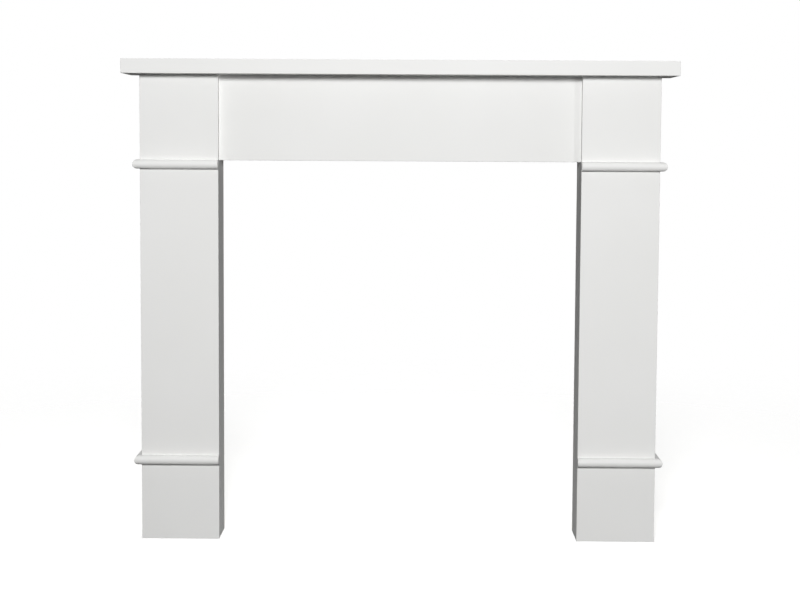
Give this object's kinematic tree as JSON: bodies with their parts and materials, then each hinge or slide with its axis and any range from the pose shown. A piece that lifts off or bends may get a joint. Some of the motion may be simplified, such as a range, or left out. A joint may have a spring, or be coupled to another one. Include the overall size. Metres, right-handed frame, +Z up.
{
  "type": "miniature fireplace mantel",
  "caption": "Plain white fireplace mantel for a dolls' house: square-edged shelf, recessed frieze and boxed legs with half-round beads.",
  "frame": {"origin": "centre of the object's box, at the floor", "axes": "+X along the shelf to the viewer's right, +Y from the front to the wall, +Z up"},
  "size_m": [0.1142, 0.0126, 0.1004],
  "materials": {
    "white_painted_wood": "smooth white satin paint",
    "bare_basswood": "bare, lightly sanded",
    "birch_dowel": "bare"
  },
  "bodies": {
    "root": {"mantel_shelf": "white_painted_wood", "frieze_board": "white_painted_wood", "back_rail": "bare_basswood", "left_leg_face": "white_painted_wood", "left_leg_outer_side": "white_painted_wood", "left_leg_inner_side": "white_painted_wood", "left_upper_bead_front": "white_painted_wood", "left_upper_bead_return": "white_painted_wood", "left_lower_bead_front": "white_painted_wood", "left_lower_bead_return": "white_painted_wood", "left_top_block": "bare_basswood", "left_foot_block": "bare_basswood", "left_outer_dowel": "birch_dowel", "left_inner_dowel": "birch_dowel", "right_leg_face": "white_painted_wood", "right_leg_outer_side": "white_painted_wood", "right_leg_inner_side": "white_painted_wood", "right_upper_bead_front": "white_painted_wood", "right_upper_bead_return": "white_painted_wood", "right_lower_bead_front": "white_painted_wood", "right_lower_bead_return": "white_painted_wood", "right_top_block": "bare_basswood", "right_foot_block": "bare_basswood", "right_outer_dowel": "birch_dowel", "right_inner_dowel": "birch_dowel"}
  },
  "joints": []
}
